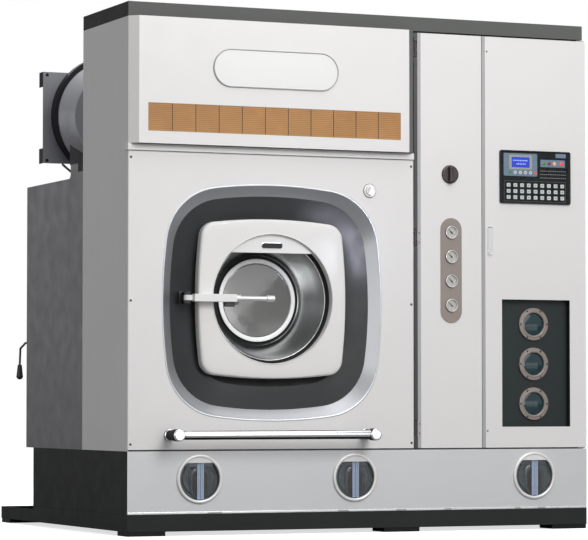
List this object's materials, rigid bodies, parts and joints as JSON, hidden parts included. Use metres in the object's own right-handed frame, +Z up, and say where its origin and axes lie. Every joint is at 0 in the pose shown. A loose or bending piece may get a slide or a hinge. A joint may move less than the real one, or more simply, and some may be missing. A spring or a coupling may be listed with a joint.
{
  "type": "dry cleaning machine",
  "caption": "Dry cleaning machine with a round loading door, gauge door, control door, solvent tank with sight windows, spill tray and a rear blower.",
  "frame": {"origin": "on the floor, below the middle of the whole machine's box", "axes": "+Z up, -Y towards the user at the loading door, +X to the user's right"},
  "size_m": [1.9924, 1.668, 2.05],
  "materials": {
    "dark_paint": "satin dark grey paint",
    "black_rubber": "matt black rubber",
    "tank_steel": "brushed stainless steel",
    "sight_glass": "clear glass over the sight chamber",
    "blue_plastic": "level scale and float",
    "light_paint": "light grey paint",
    "cream_paint": "warm white paint",
    "orange_plastic": "orange louvre plastic",
    "white_enamel": "white enamel with a chrome rim, blank",
    "bezel_metal": "grey metallic bezel",
    "black_metal": "black paint",
    "chrome": "polished chrome",
    "cast_metal": "taupe cast ring",
    "zinc_steel": "zinc plated steel",
    "rear_paint": "grey paint",
    "black_iron": "black cast iron",
    "blue_paint": "blue motor paint",
    "brass": "brass body",
    "cream_plastic": "moulded warm white door shell",
    "dish_steel": "polished steel dish",
    "white_plastic": "white ring",
    "door_glass": "tinted door glass",
    "arm_paint": "white enamelled arm",
    "taupe_plastic": "taupe gauge plate",
    "clear_glass": "gauge glass",
    "needle_black": "black needle",
    "brown_plastic": "dark brown moulding",
    "black_plastic": "black controller face with display and lamps",
    "key_plastic": "sealed key caps under a membrane"
  },
  "bodies": {
    "machine": {"skid_base": "dark_paint", "floor_pads": "black_rubber", "solvent_tank": "tank_steel", "tank_bezels": "tank_steel", "sight_glasses": "sight_glass", "level_scales": "blue_plastic", "cabinet_frame": "light_paint", "side_panels": "tank_steel", "top_lid": "dark_paint", "fascia": "cream_paint", "fascia_grille": "orange_plastic", "name_plaque": "white_enamel", "front_panel": "cream_paint", "door_bezel": "bezel_metal", "door_well": "dark_paint", "hinge_bracket": "black_metal", "handrail": "chrome", "button_escutcheon": "chrome", "sight_panel": "dark_paint", "porthole_flanges": "cast_metal", "panel_screws": "zinc_steel", "rear_housing": "rear_paint", "rear_cover": "rear_paint", "drum_casing": "tank_steel", "drive_belt": "black_rubber", "drive_motor": "blue_paint", "fan_housing": "rear_paint", "fan_plate": "rear_paint", "fan_motor": "blue_paint", "distillation_still": "tank_steel", "solvent_filter": "tank_steel", "drain_valve": "brass"},
    "loading_door": {"door_shell": "cream_plastic", "door_gasket": "black_rubber", "door_dish": "dish_steel", "door_glass_ring": "white_plastic", "door_glass": "door_glass", "door_cap": "cream_plastic", "door_arm": "arm_paint"},
    "gauge_door": {"gauge_door": "cream_paint", "gauge_plate": "taupe_plastic", "gauge_cases": "chrome", "gauge_glasses": "clear_glass"},
    "needle_1": {"needle_1": "needle_black"},
    "needle_2": {"needle_2": "needle_black"},
    "needle_3": {"needle_3": "needle_black"},
    "needle_4": {"needle_4": "needle_black"},
    "main_switch": {"main_switch_knob": "brown_plastic"},
    "control_door": {"control_door": "cream_paint", "controller": "black_plastic", "controller_keys": "key_plastic", "latch_plate": "chrome"},
    "latch_paddle": {"latch_paddle": "chrome"},
    "latch_button": {"latch_button": "chrome"},
    "release_button": {"release_button": "chrome"},
    "drum": {"drum_basket": "tank_steel", "drum_pulley": "black_iron"},
    "motor_pulley": {"motor_pulley": "black_iron"},
    "fan_wheel": {"fan_wheel": "zinc_steel"},
    "valve_lever": {"valve_lever": "zinc_steel"}
  },
  "joints": [
    {"name": "loading_door_hinge", "type": "hinge", "parent": "machine", "child": "loading_door", "pos_m": [-0.75385, -0.734, 0.914], "axis": [0, 0, -1], "range_deg": [0, 110]},
    {"name": "gauge_door_hinge", "type": "hinge", "parent": "machine", "child": "gauge_door", "pos_m": [0.22615, -0.719, 1.158], "axis": [0, 0, -1], "range_deg": [0, 95]},
    {"name": "control_door_hinge", "type": "hinge", "parent": "machine", "child": "control_door", "pos_m": [0.98715, -0.714, 1.158], "axis": [0, 0, 1], "range_deg": [0, 100]},
    {"name": "needle_1_turn", "type": "hinge", "parent": "gauge_door", "child": "needle_1", "pos_m": [0.38265, -0.728, 1.19125], "axis": [0, 1, 0], "range_deg": [-90, 180]},
    {"name": "needle_2_turn", "type": "hinge", "parent": "gauge_door", "child": "needle_2", "pos_m": [0.38265, -0.728, 1.09375], "axis": [0, 1, 0], "range_deg": [-90, 180]},
    {"name": "needle_3_turn", "type": "hinge", "parent": "gauge_door", "child": "needle_3", "pos_m": [0.38265, -0.728, 0.99625], "axis": [0, 1, 0], "range_deg": [-90, 180]},
    {"name": "needle_4_turn", "type": "hinge", "parent": "gauge_door", "child": "needle_4", "pos_m": [0.38265, -0.728, 0.89875], "axis": [0, 1, 0], "range_deg": [-90, 180]},
    {"name": "main_switch_turn", "type": "hinge", "parent": "gauge_door", "child": "main_switch", "pos_m": [0.37865, -0.724, 1.424], "axis": [0, 1, 0], "range_deg": [0, 90]},
    {"name": "latch_paddle_swing", "type": "hinge", "parent": "control_door", "child": "latch_paddle", "pos_m": [0.55815, -0.721, 1.2125], "axis": [-1, 0, 0], "range_deg": [0, 30], "stiffness_Nm_per_rad": 0.05},
    {"name": "latch_button_press", "type": "slide", "parent": "control_door", "child": "latch_button", "axis": [0, 1, 0], "range_m": [0, 0.003], "stiffness_N_per_m": 300},
    {"name": "release_button_press", "type": "slide", "parent": "machine", "child": "release_button", "axis": [0, 1, 0], "range_m": [0, 0.005], "stiffness_N_per_m": 600},
    {"name": "drum_spin", "type": "hinge", "parent": "machine", "child": "drum", "pos_m": [-0.38935, -0.274, 0.914], "axis": [0, 1, 0], "continuous": true},
    {"name": "motor_pulley_spin", "type": "hinge", "parent": "machine", "child": "motor_pulley", "pos_m": [0.04668, 0.156, 0.47], "axis": [0, 1, 0], "continuous": true},
    {"name": "fan_spin", "type": "hinge", "parent": "machine", "child": "fan_wheel", "pos_m": [-0.69985, 0.281, 1.692], "axis": [0, 1, 0], "continuous": true},
    {"name": "valve_lever_turn", "type": "hinge", "parent": "machine", "child": "valve_lever", "pos_m": [-0.96285, 0.516, 0.766], "axis": [0, -1, 0], "range_deg": [0, 90]}
  ],
  "couplings": [
    {"joint": "motor_pulley_spin", "follows": "drum_spin", "ratio": 3.2727}
  ]
}
